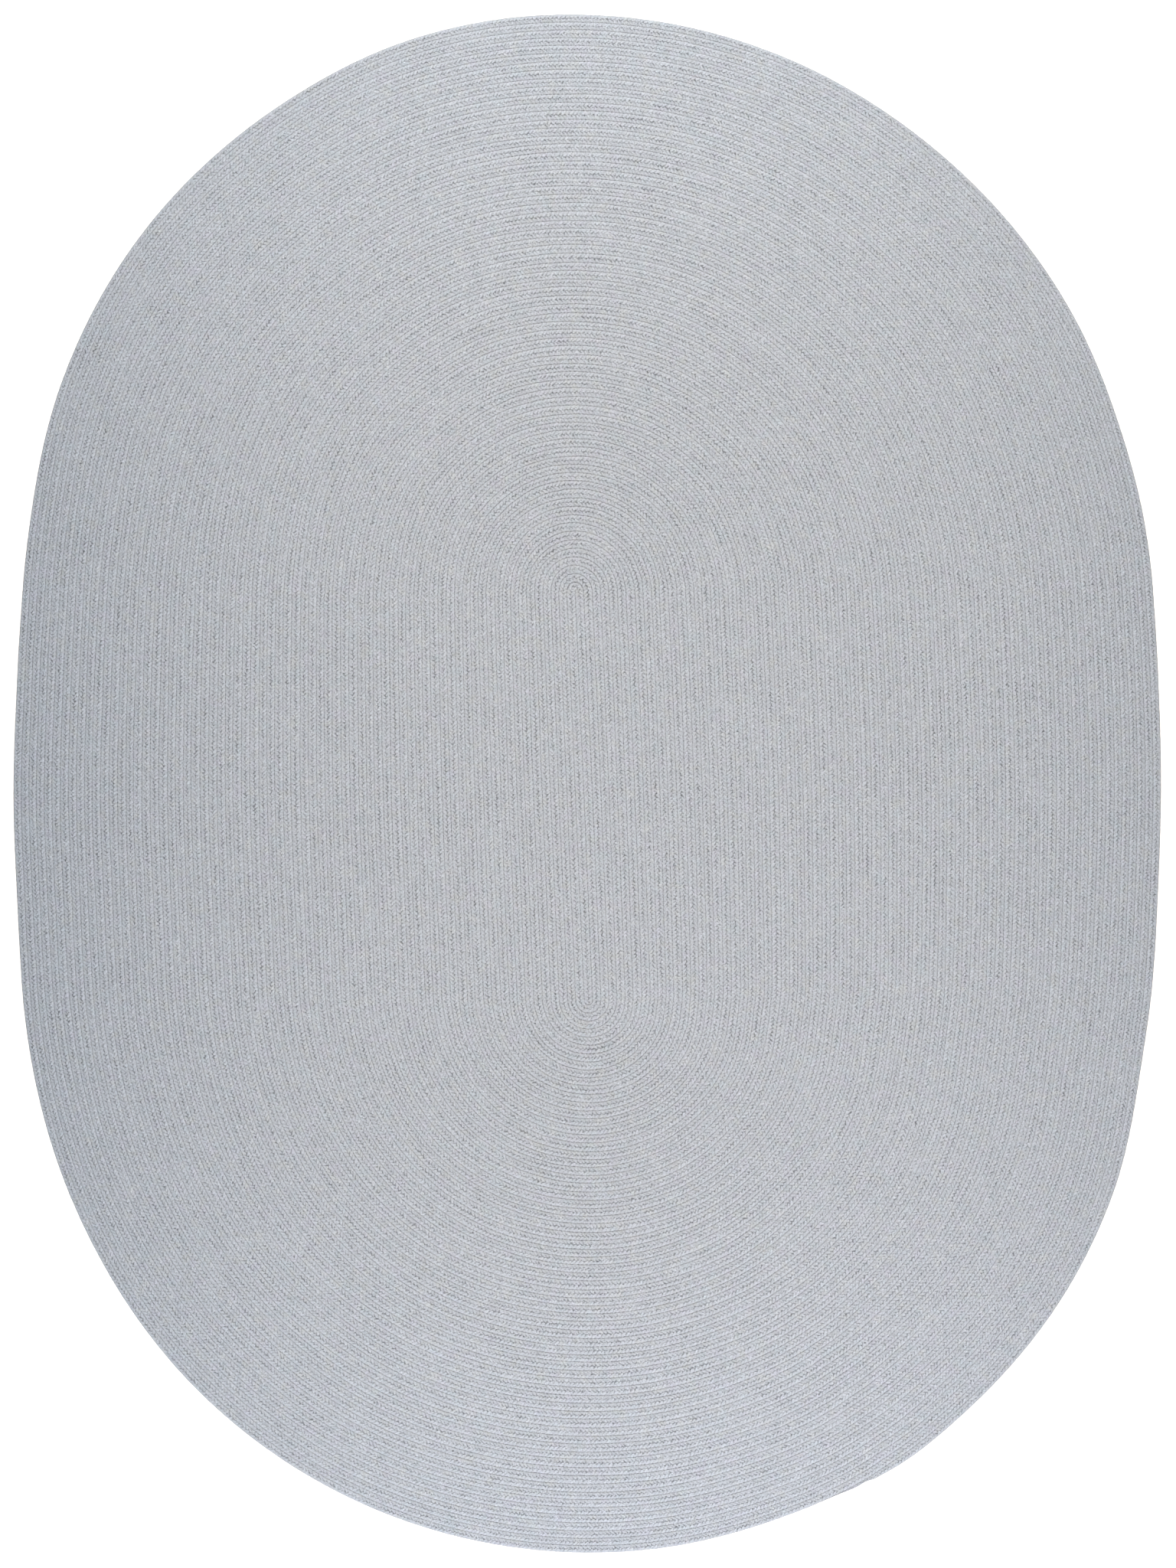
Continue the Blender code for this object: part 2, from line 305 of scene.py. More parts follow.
def row_line(stretch, count, along):
    """Points of a line that is count rows outside the middle of the centre row.

    Rays run from the centre row, or from the point that a bend turns round, to the last full groove, and
    the line cuts each at its share of the rows, a little further out as the last rows crowd together. The
    lean of the centre row dies away towards the rim.
    """
    axis = CENTRE_ROW_TOP - CENTRE_ROW_BOTTOM
    lean = math.atan2(-axis[0], axis[1])
    way = way_round(stretch, along)
    rows = FULL_TURNS + 0.5
    if stretch == UPPER_BEND:
        # The upper bends turn round a point half a row to the right of the centre row.
        start = CENTRE_ROW_TOP + ROW_PITCH / 2 * np.array((math.cos(lean), math.sin(lean)))
        start = np.broadcast_to(start, (len(along), 2))
        rows, count = rows + 0.5, count + 0.5
        last = rim(way)
    else:
        down = {RIGHT_RUN: along, LEFT_RUN: 1 - along}.get(stretch, np.ones_like(along))
        start = CENTRE_ROW_TOP - axis * down[:, None]
        last = rim(way, np.interp(way, *LAST_ROW_WIDTH.T) if stretch < LOWER_BEND else 0 * way)
    share = count / rows
    angle = lean * (1 - share)
    spin = np.array(((math.cos(angle), math.sin(angle)), (-math.sin(angle), math.cos(angle))))
    ray = (last - start) @ spin
    reach = np.linalg.norm(ray, axis=1)
    distance = reach * ((1 + ROW_TIGHTENING) * share - ROW_TIGHTENING * share**TIGHTENING_POWER)
    return start + ray * ((distance + row_push(distance, way, share)) / reach)[:, None]


def smooth_noise(place, seed):
    """A smooth random number from -1 to 1 at each place: seeded numbers at the whole places, eased into
    each other by three times the square less twice the cube of the part between."""
    knots = np.random.default_rng(seed).uniform(-1, 1, int(place.max()) + 2)
    whole = np.floor(place).astype(int)
    part = place - whole
    ease = part**2 * (3 - 2 * part)
    return knots[whole] * (1 - ease) + knots[whole + 1] * ease


def groove(turn, stretch, along):
    """Points of the groove on the inner side of a turn, where turn -1 is the centre row and the groove of
    the turn after the last is the rim. Each groove strays from its even line by smooth noise, none at
    the centre and at the rim."""
    if turn > FULL_TURNS:
        return rim(way_round(stretch, along))
    if turn < 0:
        if stretch == LEFT_RUN:
            return row_line(RIGHT_RUN, 0.5, 1 - along)
        return np.repeat(row_line(RIGHT_RUN, 0.5, np.zeros(1)), len(along), 0)
    line = row_line(stretch, turn + 0.5, along)
    turns_out = turn + way_round(stretch, along) / PERIMETER
    course = np.gradient(line, axis=0)
    outward = np.stack((-course[:, 1], course[:, 0]), -1) / np.linalg.norm(course, axis=1)[:, None]
    wander = GROOVE_WANDER * smooth_noise(turns_out * PERIMETER / WANDER_LENGTH, seed=1)
    wander *= np.clip((turns_out - 1) / WANDER_TURNS, 0, 1) * np.clip(FULL_TURNS - turns_out, 0, 1)
    return line + outward * wander[:, None]


def turns_of_braid():
    """The stretches that the braid runs through, as turn and stretch, from the centre to its end."""
    yield from ((-1, LEFT_RUN), (-1, UPPER_BEND))
    for turn in range(FULL_TURNS):
        for stretch in range(RIGHT_RUN, UPPER_BEND + 1):
            yield turn, stretch
    yield from ((FULL_TURNS, RIGHT_RUN), (FULL_TURNS, LOWER_RIGHT))


def braid_path():
    """Length run, middle point and vector to the left edge at close steps along the whole braid. The
    middle is halfway between the grooves on its two sides, and a half circle rounds off its start."""
    inner, outer = [], []
    for turn, stretch in turns_of_braid():
        coarse = groove(turn + 1, stretch, np.linspace(0, 1, MEASURING_STEPS + 1))
        length = np.linalg.norm(np.diff(coarse, axis=0), axis=1).sum()
        along = np.linspace(0, 1, max(round(length / PATH_STEP), FEWEST_STEPS) + 1)
        # The last point of a stretch is left to the next one, which starts with it.
        last = -1 if (turn, stretch) != (FULL_TURNS, LOWER_RIGHT) else None
        inner.append(groove(turn, stretch, along)[:last])
        outer.append(groove(turn + 1, stretch, along)[:last])
    inner, outer = np.concatenate(inner), np.concatenate(outer)
    middle, left = (inner + outer) / 2, (outer - inner) / 2
    radius = np.linalg.norm(left[0])
    back = radius * np.cos(START_ARC)[:, None]
    course = (middle[1] - middle[0]) / np.linalg.norm(middle[1] - middle[0])
    middle = np.concatenate((middle[0] - back * course, middle))
    left = np.concatenate((left[0] * np.sqrt(1 - (back / radius) ** 2), left))
    run = np.concatenate(([0], np.cumsum(np.linalg.norm(np.diff(middle, axis=0), axis=1))))
    return run, middle, left


# ---------------------------------------------------------------- the braid


def over_or_between(over, values):
    """The first value where over is 1 and the second where it is 0."""
    return values[1] + (values[0] - values[1]) * over


def sway(line, size_and_lines, seed):
    """Smooth noise at each line, of a size and over a number of lines."""
    size, lines = size_and_lines
    return size * smooth_noise(line / lines, seed)


def braid_surface():
    """Points of the braid's upper side, an array of lines by points across, with their places along, in
    lumps, and across.

    Lines follow each other at half a lump. Each is a chevron: it runs ahead by LUMP_AHEAD times the place
    across. Every second line runs over the lumps of the left column and between those of the right one,
    and the others do the reverse, so the two columns are half a lump out of step. Smooth noise makes lumps
    longer and shorter and their dips deeper and shallower, it makes the seam stray, and seeded numbers set
    each lump off a little.
    """
    run, middle, left = braid_path()
    step = LUMP / LINES_PER_LUMP
    count = START_LINES + int((run[-1] - LUMP_AHEAD) / step)
    line = np.arange(count)
    chance = np.random.default_rng(7)
    left_over = 1.0 - line % 2
    right_over = 1.0 - left_over
    deepening = 1 + sway(line, DIP_SWAY, seed=2)
    places, heights = [], []
    for over, side in ((left_over, 1.0), (right_over, -1.0)):
        uneven = chance.normal(0, HEIGHT_SCATTER, count)
        place = over_or_between(over, LUMP_PLACE) + chance.normal(0, PLACE_SCATTER, count)
        edge = over_or_between(over, EDGE_PLACE) + chance.normal(0, EDGE_SCATTER, count)
        high, low = LUMP_HEIGHT
        height = np.where(over > 0, high, high - (high - low) * deepening) + uneven
        places.append((side * edge, side * place))
        heights.append((over_or_between(over, EDGE_HEIGHT), height))
    seam = SEAM_PLACE * (right_over - left_over) + sway(line, SEAM_SWAY, seed=3)
    across = np.stack((*places[0], seam, *places[1][::-1]), 1)
    height = np.stack((*heights[0], np.full(count, SEAM_HEIGHT), *heights[1][::-1]), 1)

    uneven_length = step * sway(line, LENGTH_SWAY, seed=4)
    way = ((line - START_LINES) * step + uneven_length)[:, None] + LUMP_AHEAD * np.abs(across)
    way = np.clip(way, 0, run[-1])
    points = np.empty((count, POINTS_ACROSS, 3))
    half_width_squared = np.zeros((count, POINTS_ACROSS))
    for axis in (0, 1):
        reach = np.interp(way, run, left[:, axis])
        points[:, :, axis] = np.interp(way, run, middle[:, axis]) + reach * across
        half_width_squared += reach**2
    full = np.clip(np.sqrt(half_width_squared) / (ROW_PITCH / 2) / FULL_WIDTH, 0, 1)
    points[:, :, 2] = BRAID_FOOT + (np.minimum(height, THICKNESS) - BRAID_FOOT) * np.sqrt(full)
    along = line[:, None] / LINES_PER_LUMP + LUMP_AHEAD / LUMP * np.abs(across)
    return points, along, across


def tube_faces(lines):
    """Faces of one closed length of braid: four strips over its top and one under it for each step from
    line to line, all as quads, and a five-cornered cap at each end."""
    back = POINTS_ACROSS * np.arange(lines - 1)[:, None]
    ahead = back + POINTS_ACROSS
    point = np.arange(POINTS_ACROSS)[None, :]
    after = (point + 1) % POINTS_ACROSS
    quads = np.stack((back + after, ahead + after, ahead + point, back + point), -1)
    last = POINTS_ACROSS * (lines - 1)
    caps = [[0, *range(POINTS_ACROSS - 1, 0, -1)], [*range(last, last + POINTS_ACROSS)]]
    return quads.reshape(-1, 4), caps


def bake_places(lines):
    """Places of the tube's quad corners on the map for baking: lengths of BAKE_STRIP steps lie side by
    side as strips, and the hidden foot of all of them shares the last strip."""
    step = np.arange(lines - 1)
    strip, at = np.divmod(step, BAKE_STRIP)
    strips = strip[-1] + 2
    quads_on_top = POINTS_ACROSS - 1
    across = np.arange(quads_on_top) / quads_on_top
    foot = np.full((lines - 1, 1), strips - 1.0)
    low = np.concatenate((strip[:, None] + across, foot), 1)
    high = low + np.append(np.full(quads_on_top, 1 / quads_on_top), 1.0)
    start = np.broadcast_to(at[:, None], low.shape)
    u = np.stack((start, start + 1, start + 1, start), -1) / BAKE_STRIP
    v = np.stack((high, high, low, low), -1) / strips
    return np.stack((u, v), -1).reshape(-1, 2)


def add_map(mesh, name, places):
    """Gives a mesh a UV map with one place for each face corner."""
    layer = mesh.uv_layers.new(name=name, do_init=False)
    layer.uv.foreach_set("vector", places.astype(np.float32).ravel())


def show(name, mesh, material):
    """Puts a finished mesh into the scene as a piece that rides on the rug's body."""
    mesh.materials.append(material)
    piece = bpy.data.objects.new(name, mesh)
    bpy.context.scene.collection.objects.link(piece)
    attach(piece, "root")
    return piece


def make_braid(material):
    """The braid's upper half, in consecutive lengths that start where the one before ends."""
    points, along, across = braid_surface()
    lumps = (len(points) - 1) // LINES_PER_LUMP
    cuts = np.linspace(0, lumps, BRAID_PIECES + 1).astype(int) * LINES_PER_LUMP
    pieces = []
    for number, (first, last) in enumerate(zip(cuts[:-1], cuts[1:])):
        lines = last - first + 1
        quads, caps = tube_faces(lines)
        mesh = bpy.data.meshes.new(f"braid_{number + 1}")
        mesh.from_pydata(points[first : last + 1].reshape(-1, 3).tolist(), [], quads.tolist() + caps)
        corners = np.concatenate((quads.ravel(), np.ravel(caps)))
        lumps_on = along[first : last + 1] - first // LINES_PER_LUMP
        places = np.stack((lumps_on, 0.5 + across[first : last + 1] / 2), -1)
        add_map(mesh, "yarn", places.reshape(-1, 2)[corners])
        cap_places = np.full((np.size(caps), 2), CAP_PLACE)
        add_map(mesh, "OFBake", np.concatenate((bake_places(lines), cap_places)))
        mesh.shade_smooth()
        ends = np.empty(2 * len(mesh.edges), np.int32)
        mesh.edges.foreach_get("vertices", ends)
        ends = ends.reshape(-1, 2) % POINTS_ACROSS
        along_rim = (ends[:, 0] == ends[:, 1]) & (ends[:, 0] % (POINTS_ACROSS - 1) == 0)
        mesh.edges.foreach_set("use_edge_sharp", along_rim)
        pieces.append(show(f"braid_{number + 1}", mesh, material))
    return pieces


# ---------------------------------------------------------------- the body under it


def body_steps(stretch):
    """Shares along a stretch where the body has its lines: even ones, and in the lower right also those of
    LAST_ROW_WIDTH, whose points lie where the braid's end steps inwards."""
    if stretch != LOWER_RIGHT:
        return np.linspace(0, 1, BODY_STEPS[stretch] + 1)
    start, end = STRETCH_START[stretch : stretch + 2]
    at_end = (LAST_ROW_WIDTH[:-1, 0] - start) / (end - start)
    at_end = at_end[at_end > 0]
    return np.union1d(np.linspace(0, 1, BODY_STEPS[stretch] + 1 - len(at_end)), at_end)


def body_lines():
    """Points of the underside as one spiral grid: an array of places round, BODY_STEPS of them a turn, by
    four lines across, which are inner groove, inner shoulder, outer shoulder and outer groove or rim.

    A shoulder is BODY_SHOULDER of the way from the middle of its row to the groove. The grid starts with a
    fan round the lower end of the centre row and ends in one point at the braid's end. Where it meets
    itself its points coincide.
    """
    inner, outer = [], []
    for turn, stretch in ((-1, LOWER_RIGHT), (-1, LOWER_BEND), *turns_of_braid()):
        along = body_steps(stretch)
        at_rim = turn == FULL_TURNS or (turn == FULL_TURNS - 1 and stretch >= LOWER_BEND)
        outside = rim(way_round(stretch, along), BODY_INSET) if at_rim else groove(turn + 1, stretch, along)
        inside = groove(turn, stretch, along)
        # The last point of a stretch is left to the next one, which starts with it.
        last = -1 if (turn, stretch) != (FULL_TURNS, LOWER_RIGHT) else None
        inner.append(inside[:last])
        outer.append(outside[:last])
    inner, outer = np.concatenate(inner), np.concatenate(outer)
    middle = (inner + outer) / 2
    fan = sum(BODY_STEPS[LOWER_RIGHT:LEFT_RUN])
    inner[:fan], middle[:fan] = inner[fan], middle[fan]
    shoulders = [middle + (side - middle) * BODY_SHOULDER for side in (inner, outer)]
    grid = np.stack((inner, *shoulders, outer), 1)
    grid[-1] = outer[-1]
    return grid


def make_body(material):
    """A flat closed body: the spiral grid of ribs is its underside, and one face its top."""
    grid = body_lines()
    steps, lines = grid.shape[:2]
    first_on_rim = steps - 1 - sum(BODY_STEPS)
    heights = np.tile((BODY_GROOVE, 0.0, 0.0, BODY_GROOVE), (steps, 1))
    heights[first_on_rim:, -1] = BODY_TOP
    heights[-1] = BODY_TOP
    points = np.concatenate((grid, heights[:, :, None]), 2)

    back = lines * np.arange(steps - 1)[:, None] + np.arange(lines - 1)[None, :]
    ahead = back + lines
    quads = np.stack((back, back + 1, ahead + 1, ahead), -1).reshape(-1, 4)
    top = lines * np.arange(steps - 1, first_on_rim, -1) - 1
    mesh = bpy.data.meshes.new("rug_body")
    mesh.from_pydata(points.reshape(-1, 3).tolist(), [], quads.tolist() + [top.tolist()])

    middle = (grid[:, 1] + grid[:, 2]) / 2
    run = np.concatenate(([0], np.cumsum(np.linalg.norm(np.diff(middle, axis=0), axis=1))))
    across = np.tile((0.0, 0.5 - BODY_SHOULDER / 2, 0.5 + BODY_SHOULDER / 2, 1.0), (steps, 1))
    across[first_on_rim:, -1] = RIM_ACROSS
    yarn = np.stack(np.broadcast_arrays(run[:, None] / LUMP, across), -1).reshape(-1, 2)
    add_map(mesh, "yarn", np.concatenate((yarn[quads.ravel()], np.zeros((len(top), 2)))))
    size = np.array((WIDTH, LENGTH))
    flat = points.reshape(-1, 3)[:, :2] / size + 0.5
    add_map(mesh, "OFBake", np.concatenate((flat[quads.ravel()], flat[top] * TOP_SHARE_OF_MAP)))

    shaped = bmesh.new()
    shaped.from_mesh(mesh)
    bmesh.ops.remove_doubles(shaped, verts=shaped.verts, dist=WELD)
    shaped.to_mesh(mesh)
    shaped.free()
    mesh.validate()
    mesh.shade_smooth()
    return show("rug_body", mesh, material)


# ---------------------------------------------------------------- finishes


class Wiring:
    """Adds nodes to one node tree and joins them. A value may be a number, a colour or an output."""

    def __init__(self, tree):
        self.tree = tree

    def node(self, kind, **settings):
        """A new node with its settings."""
        made = self.tree.nodes.new(kind)
        for name, value in settings.items():
            setattr(made, name, value)
        return made

    def feed(self, socket, value):
        """Gives a socket its value, or joins it to the output that has it."""
        if isinstance(value, bpy.types.NodeSocket):
            self.tree.links.new(value, socket)
        else:
            socket.default_value = value

    def maths(self, operation, *values):
        """The result of one operation."""
        made = self.node("ShaderNodeMath", operation=operation)
        for socket, value in zip(made.inputs, values):
            self.feed(socket, value)
        return made.outputs[0]

    def ramp(self, value, low, high, start=0.0, end=1.0):
        """Start below low and end above high, eased between."""
        made = self.node("ShaderNodeMapRange", interpolation_type="SMOOTHSTEP")
        for name, given in (("Value", value), ("From Min", low), ("From Max", high),
                            ("To Min", start), ("To Max", end)):
            self.feed(made.inputs[name], given)
        return made.outputs["Result"]

    def blend(self, share, one, other, way="MIX"):
        """One colour blended into another by a share."""
        made = self.node("ShaderNodeMix", data_type="RGBA", blend_type=way)
        first_colour, second_colour, mixed = made.inputs[6], made.inputs[7], made.outputs[2]
        self.feed(made.inputs["Factor"], share)
        self.feed(first_colour, one)
        self.feed(second_colour, other)
        return mixed

    def noise(self, place, scale, detail=2.0, roughness=0.5):
        """Smooth noise from 0 to 1 at a place."""
        made = self.node("ShaderNodeTexNoise", noise_dimensions="3D")
        for name, given in (("Vector", place), ("Scale", scale), ("Detail", detail),
                            ("Roughness", roughness)):
            self.feed(made.inputs[name], given)
        return made.outputs["Fac"]

    def use(self, group, **values):
        """The outputs of a node group that is given its inputs."""
        made = self.node("ShaderNodeGroup", node_tree=group)
        for name, value in values.items():
            self.feed(made.inputs[name], value)
        return made.outputs


def new_group(name, inputs, outputs):
    """An empty node group, with its wiring, its inputs' outlets and its outputs' inlets."""
    tree = bpy.data.node_groups.new(name, "ShaderNodeTree")
    for label, (kind, value) in inputs.items():
        socket = tree.interface.new_socket(label, in_out="INPUT", socket_type=f"NodeSocket{kind}")
        if value is not None:
            socket.default_value = value
    for label, kind in outputs.items():
        tree.interface.new_socket(label, in_out="OUTPUT", socket_type=f"NodeSocket{kind}")
    wiring = Wiring(tree)
    return wiring, wiring.node("NodeGroupInput").outputs, wiring.node("NodeGroupOutput").inputs


def braid_lumps():
    """Group that finds its place in the braid. Lumps of the left column top at whole numbers of lumps
    along, less the lead of their chevrons, and those of the right column half a lump later. The seam
    between the columns is a cosine of the place along. Fuzz and Stray, two noises, set lumps and seam off
    their even places.

    Over is the cosine hump of a lump and Strands the two yarns in it. The third output is painted shade in
    the crevices between rows, at the seam and between lumps, stronger where the fuzz is dark, and Chance is
    a random number for each lump.
    """
    wiring, given, out = new_group(
        "braid_lumps",
        {
            "Along": ("Float", 0.0),
            "Across": ("Float", 0.5),
            "Fuzz": ("Float", 0.5),
            "Stray": ("Float", 0.5),
        },
        {"Over": "Float", "Strands": "Float", "PaintedShade": "Float", "Chance": "Float"},
    )
    m = wiring.maths
    # Place across from -1 to 1, and place along in lumps, which fuzz and straying shift a little
    across = m("MULTIPLY_ADD", given["Across"], 2.0, -1.0)
    off_middle = m("ABSOLUTE", across)
    phase = m("SUBTRACT", given["Along"], m("MULTIPLY", off_middle, LUMP_AHEAD / LUMP))
    phase = m("ADD", phase, m("MULTIPLY_ADD", given["Fuzz"], FUZZ_WOBBLE, -FUZZ_WOBBLE / 2))
    phase = m("ADD", phase, m("MULTIPLY_ADD", given["Stray"], LUMP_STRAY, -LUMP_STRAY / 2))

    # The seam, and the two columns beside it
    zigzag = m("MULTIPLY", m("COSINE", m("MULTIPLY", phase, TAU)), -SEAM_PLACE)
    zigzag = m("ADD", zigzag, m("MULTIPLY_ADD", given["Stray"], SEAM_STRAY, -SEAM_STRAY / 2))
    off_seam = m("ABSOLUTE", m("SUBTRACT", across, zigzag))
    right = m("LESS_THAN", across, zigzag)
    phase = m("ADD", phase, m("MULTIPLY", right, 0.5))
    over = m("MULTIPLY_ADD", m("COSINE", m("MULTIPLY", phase, TAU)), 0.5, 0.5)
    strands = m("MULTIPLY_ADD", m("COSINE", m("MULTIPLY", phase, 2 * TAU)), 0.5, 0.5)

    # A random number for each lump, from its number along and its column
    number = wiring.node("ShaderNodeCombineXYZ")
    wiring.feed(number.inputs["X"], m("ROUND", phase))
    wiring.feed(number.inputs["Y"], right)
    random = wiring.node("ShaderNodeTexWhiteNoise", noise_dimensions="2D")
    wiring.feed(random.inputs["Vector"], number.outputs[0])
    chance = random.outputs["Value"]

    # Painted shade in the crevices, drawn as dark lines: between lumps, along the seam and between rows
    uneven = m("MULTIPLY_ADD", chance, DASH_VARIES, 1 - DASH_VARIES / 2)
    between = m("MULTIPLY", wiring.ramp(over, 0.0, DASH_LOW, DASH_PAINTED_SHADE, 0.0), uneven)
    between = m("MULTIPLY", between, wiring.ramp(off_seam, *DASH_FADES, 1.0, DASH_END))
    seam = wiring.ramp(off_seam, *SEAM_FADES, SEAM_PAINTED_SHADE, 0.0)
    to_edge = m("MULTIPLY_ADD", over, -GROOVE_WAVE, off_middle)
    groove_shade = wiring.ramp(to_edge, *GROOVE_GROWS, 0.0, GROOVE_PAINTED_SHADE)
    painted_shade = m("ADD", m("MAXIMUM", between, seam), groove_shade)
    painted_shade = m("MULTIPLY", painted_shade, m("MULTIPLY_ADD", given["Fuzz"], -PAINTED_SHADE_FUZZ, 1 + PAINTED_SHADE_FUZZ / 2))
    for name, value in (("Over", over), ("Strands", strands), ("PaintedShade", painted_shade), ("Chance", chance)):
        wiring.feed(out[name], value)
    return wiring.tree


def heather():
    """Group that tints a colour with soft flecks of the wool's blend: each tint is mixed in where its own
    noise, which follows the braid or is spread over the rug, is high."""
    wiring, given, out = new_group(
        "heather",
        {"Colour": ("Color", YARN), "Yarn": ("Vector", None), "Place": ("Vector", None)},
        {"Colour": "Color"},
    )
    colour = given["Colour"]
    x, y, z = FLECK_SHIFT
    for number, (tint, scale, place) in enumerate(FLECKS):
        shifted = wiring.node("ShaderNodeMapping")
        wiring.feed(shifted.inputs["Vector"], given[place])
        wiring.feed(shifted.inputs["Location"], (x * (number + 1), y * number, z * number))
        share = wiring.ramp(wiring.noise(shifted.outputs[0], scale), *FLECK_EDGES)
        colour = wiring.blend(share, colour, wiring.blend(1.0, colour, tint, "MULTIPLY"))
    wiring.feed(out["Colour"], colour)
    return wiring.tree


def yarn_relief():
    """Group for the fine relief of the yarn: the strands in a lump, its fuzz, and fibres as finer noise."""
    wiring, given, out = new_group(
        "yarn_relief",
        {"Strands": ("Float", 0.5), "Fuzz": ("Float", 0.5), "Place": ("Vector", None)},
        {"Height": "Float"},
    )
    fibres = wiring.noise(given["Place"], FIBRE_SCALE, detail=3.0, roughness=0.6)
    height = wiring.maths("MULTIPLY_ADD", given["Strands"], STRAND_RELIEF, given["Fuzz"])
    wiring.feed(out["Height"], wiring.maths("MULTIPLY_ADD", fibres, FIBRE_RELIEF, height))
    return wiring.tree


def blue_grey_yarn():
    """The rug's one material: matt heathered yarn, with painted shade in its crevices."""
    material = bpy.data.materials.new("blue_grey_yarn")
    material.use_nodes = True
    wiring = Wiring(material.node_tree)
    shader = material.node_tree.nodes["Principled BSDF"]
    shader.inputs["Specular IOR Level"].default_value = 0.25
    shader.inputs["Sheen Weight"].default_value = 0.12
    shader.inputs["Sheen Roughness"].default_value = 0.6

    yarn = wiring.node("ShaderNodeUVMap", uv_map="yarn").outputs[0]
    place = wiring.node("ShaderNodeTexCoord").outputs["Object"]
    part = wiring.node("ShaderNodeSeparateXYZ")
    wiring.feed(part.inputs[0], yarn)
    fuzz = wiring.noise(place, FUZZ_SCALE, detail=1.0)
    stray = wiring.noise(place, STRAY_SCALE)
    lumps = wiring.use(
        braid_lumps(), Along=part.outputs["X"], Across=part.outputs["Y"], Fuzz=fuzz, Stray=stray
    )
    flecked = wiring.use(heather(), Colour=YARN, Yarn=yarn, Place=place)["Colour"]
    tone = wiring.maths("MULTIPLY_ADD", lumps["Chance"], LUMP_TONES, 1 - (LUMP_TONES + FUZZ_TONES) / 2)
    tone = wiring.maths("MULTIPLY_ADD", fuzz, FUZZ_TONES, tone)
    # Painted shade in the braid's crevices, stronger and weaker along the braid, darkens the yarn's tone
    tightness = wiring.noise(yarn, TIGHTNESS_SCALE)
    tight = wiring.ramp(tightness, *TIGHTNESS_EDGES, 1 - TIGHTNESS, 1 + TIGHTNESS)
    painted_shade = wiring.maths("MULTIPLY", lumps["PaintedShade"], tight)
    shade = wiring.maths("MULTIPLY", tone, wiring.maths("SUBTRACT", 1.0, painted_shade))
    grey = wiring.node("ShaderNodeCombineColor")
    for socket in grey.inputs:
        wiring.feed(socket, shade)
    wiring.feed(shader.inputs["Base Color"], wiring.blend(1.0, flecked, grey.outputs[0], "MULTIPLY"))
    relief = wiring.use(yarn_relief(), Strands=lumps["Strands"], Fuzz=fuzz, Place=place)["Height"]
    bump = wiring.node("ShaderNodeBump")
    wiring.feed(bump.inputs["Height"], relief)
    wiring.feed(bump.inputs["Strength"], 1.0)
    wiring.feed(bump.inputs["Distance"], YARN_RELIEF)
    wiring.feed(shader.inputs["Normal"], bump.outputs[0])
    rough = wiring.maths("MULTIPLY_ADD", lumps["Over"], -SMOOTH_TOPS, ROUGHNESS)
    wiring.feed(shader.inputs["Roughness"], rough)
    return material


# ---------------------------------------------------------------- studio


def make_floor():
    """A plain white floor just under the rug, which also glows, so that it stays white far out."""
    mesh = bpy.data.meshes.new("studio_floor")
    reach = FLOOR_REACH
    corners = [(-reach, -reach), (reach, -reach), (reach, reach), (-reach, reach)]
    mesh.from_pydata([(x, y, -FLOOR_GAP) for x, y in corners], [], [(0, 1, 2, 3)])
    material = bpy.data.materials.new("white_floor")
    material.use_nodes = True
    shader = material.node_tree.nodes["Principled BSDF"]
    shader.inputs["Base Color"].default_value = FLOOR
    shader.inputs["Emission Color"].default_value = FLOOR_GLOW
    shader.inputs["Emission Strength"].default_value = 1.0
    shader.inputs["Roughness"].default_value = 0.9
    shader.inputs["Specular IOR Level"].default_value = 0.0
    mesh.materials.append(material)
    floor = bpy.data.objects.new("studio_floor", mesh)
    bpy.context.scene.collection.objects.link(floor)


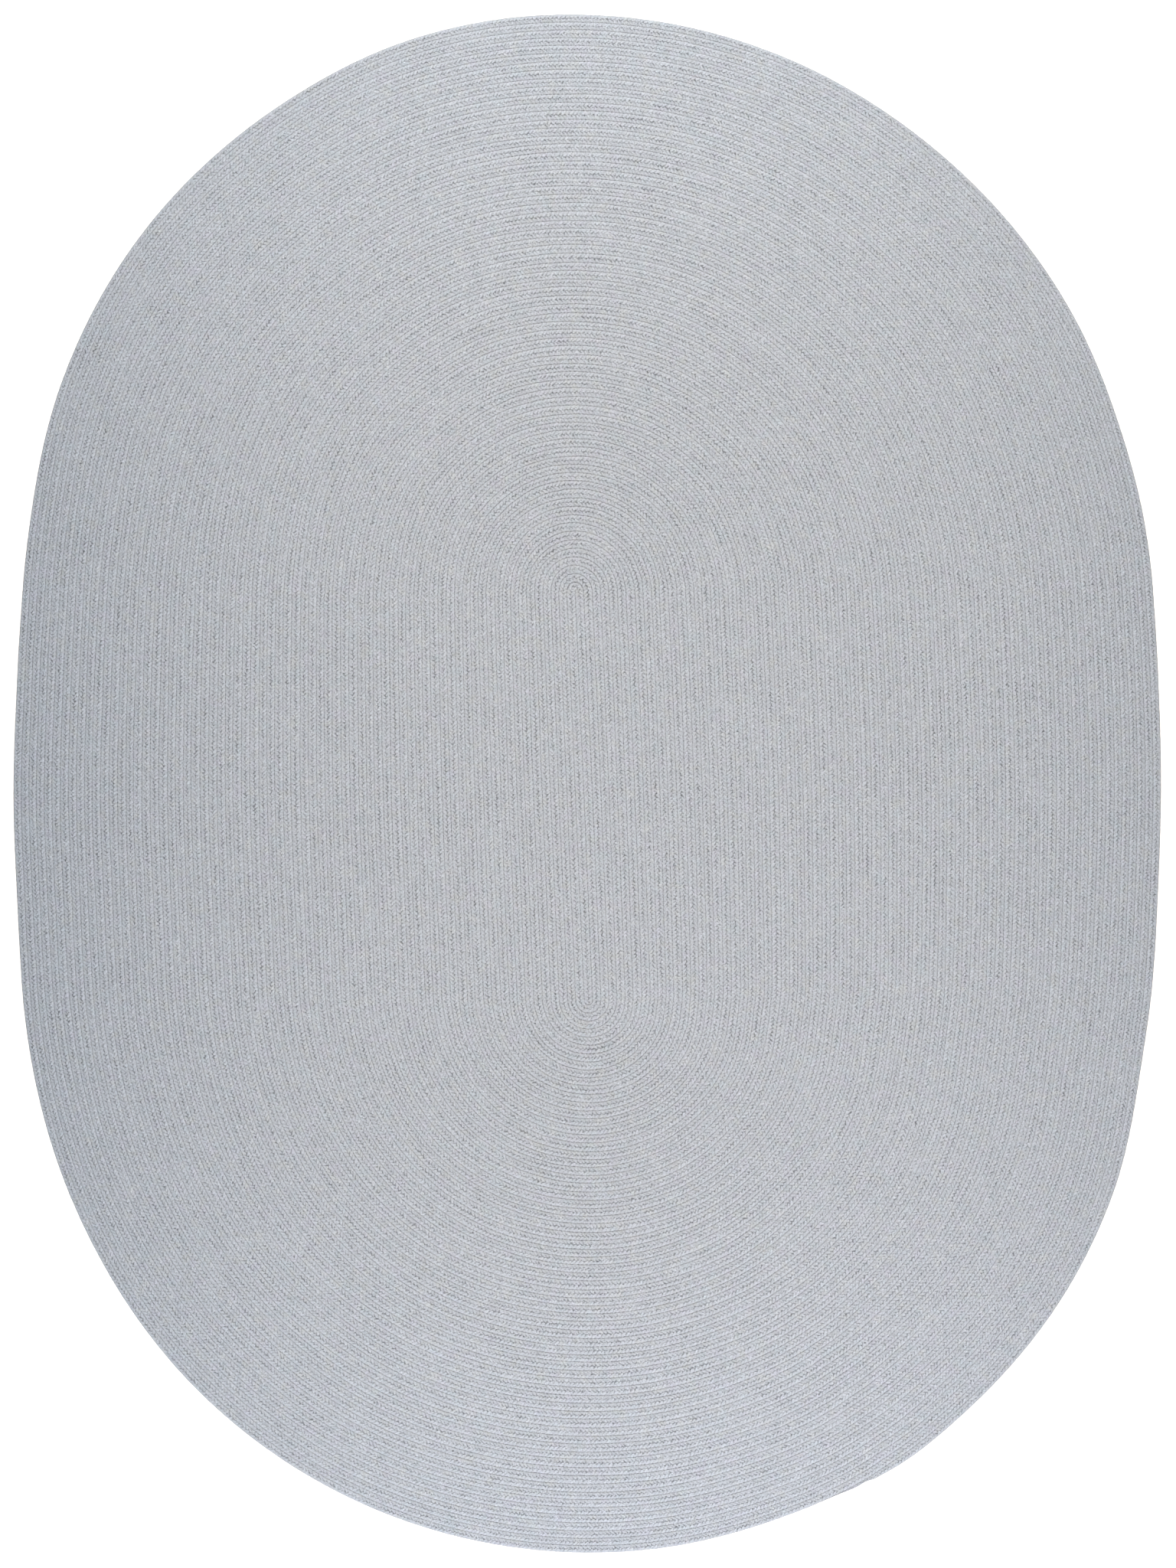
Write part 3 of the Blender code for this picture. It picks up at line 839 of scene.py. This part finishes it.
def make_light(name, place, aim, size, power, colour, beam=math.pi):
    """A soft rectangular light that the camera doesn't see. It shines all ways in front of it, unless an
    angle is given for a narrower beam."""
    data = bpy.data.lights.new(name, "AREA")
    data.shape = "RECTANGLE"
    data.size, data.size_y = size
    data.energy = power
    data.color = colour
    data.spread = beam
    light = bpy.data.objects.new(name, data)
    light.location = place
    light.rotation_euler = (Vector(aim) - Vector(place)).to_track_quat("-Z", "Y").to_euler()
    light.visible_camera = False
    bpy.context.scene.collection.objects.link(light)


def make_studio():
    """Soft light from a blue sky, from beyond both ends of the rug, from a wide light overhead and a little
    from the left. In place of the sky the camera sees a plain white backdrop."""
    world = bpy.data.worlds.new("studio")
    world.use_nodes = True
    wiring = Wiring(world.node_tree)
    sky = world.node_tree.nodes["Background"]
    sky.inputs["Color"].default_value = SKY_COLOUR
    sky.inputs["Strength"].default_value = SKY
    backdrop = wiring.node("ShaderNodeBackground")
    backdrop.inputs["Color"].default_value = BACKDROP
    seen = wiring.node("ShaderNodeMixShader")
    wiring.feed(seen.inputs["Fac"], wiring.node("ShaderNodeLightPath").outputs["Is Camera Ray"])
    wiring.feed(seen.inputs[1], sky.outputs[0])
    wiring.feed(seen.inputs[2], backdrop.outputs[0])
    wiring.feed(world.node_tree.nodes["World Output"].inputs["Surface"], seen.outputs[0])
    bpy.context.scene.world = world
    for name, settings in LIGHTS.items():
        make_light(name, *settings)


def make_camera():
    """A long lens straight above, which takes in the photograph's frame at the height of the rug."""
    data = bpy.data.cameras.new("camera")
    data.sensor_width = 36.0
    data.lens = data.sensor_width * (CAMERA_HEIGHT - THICKNESS) / (PHOTO_LENGTH * METRES_PER_PIXEL)
    data.clip_end = 100.0
    camera = bpy.data.objects.new("camera", data)
    right, up = PHOTO_CENTRE
    camera.location = (right * METRES_PER_PIXEL, up * METRES_PER_PIXEL, CAMERA_HEIGHT)
    bpy.context.scene.collection.objects.link(camera)
    bpy.context.scene.camera = camera


# ---------------------------------------------------------------- the whole

make_studio()
make_camera()
make_floor()
yarn_finish = blue_grey_yarn()
body = make_body(yarn_finish)
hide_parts("braided_rug")
braid = make_braid(yarn_finish)
bpy.context.scene.view_settings.view_transform = "Standard"
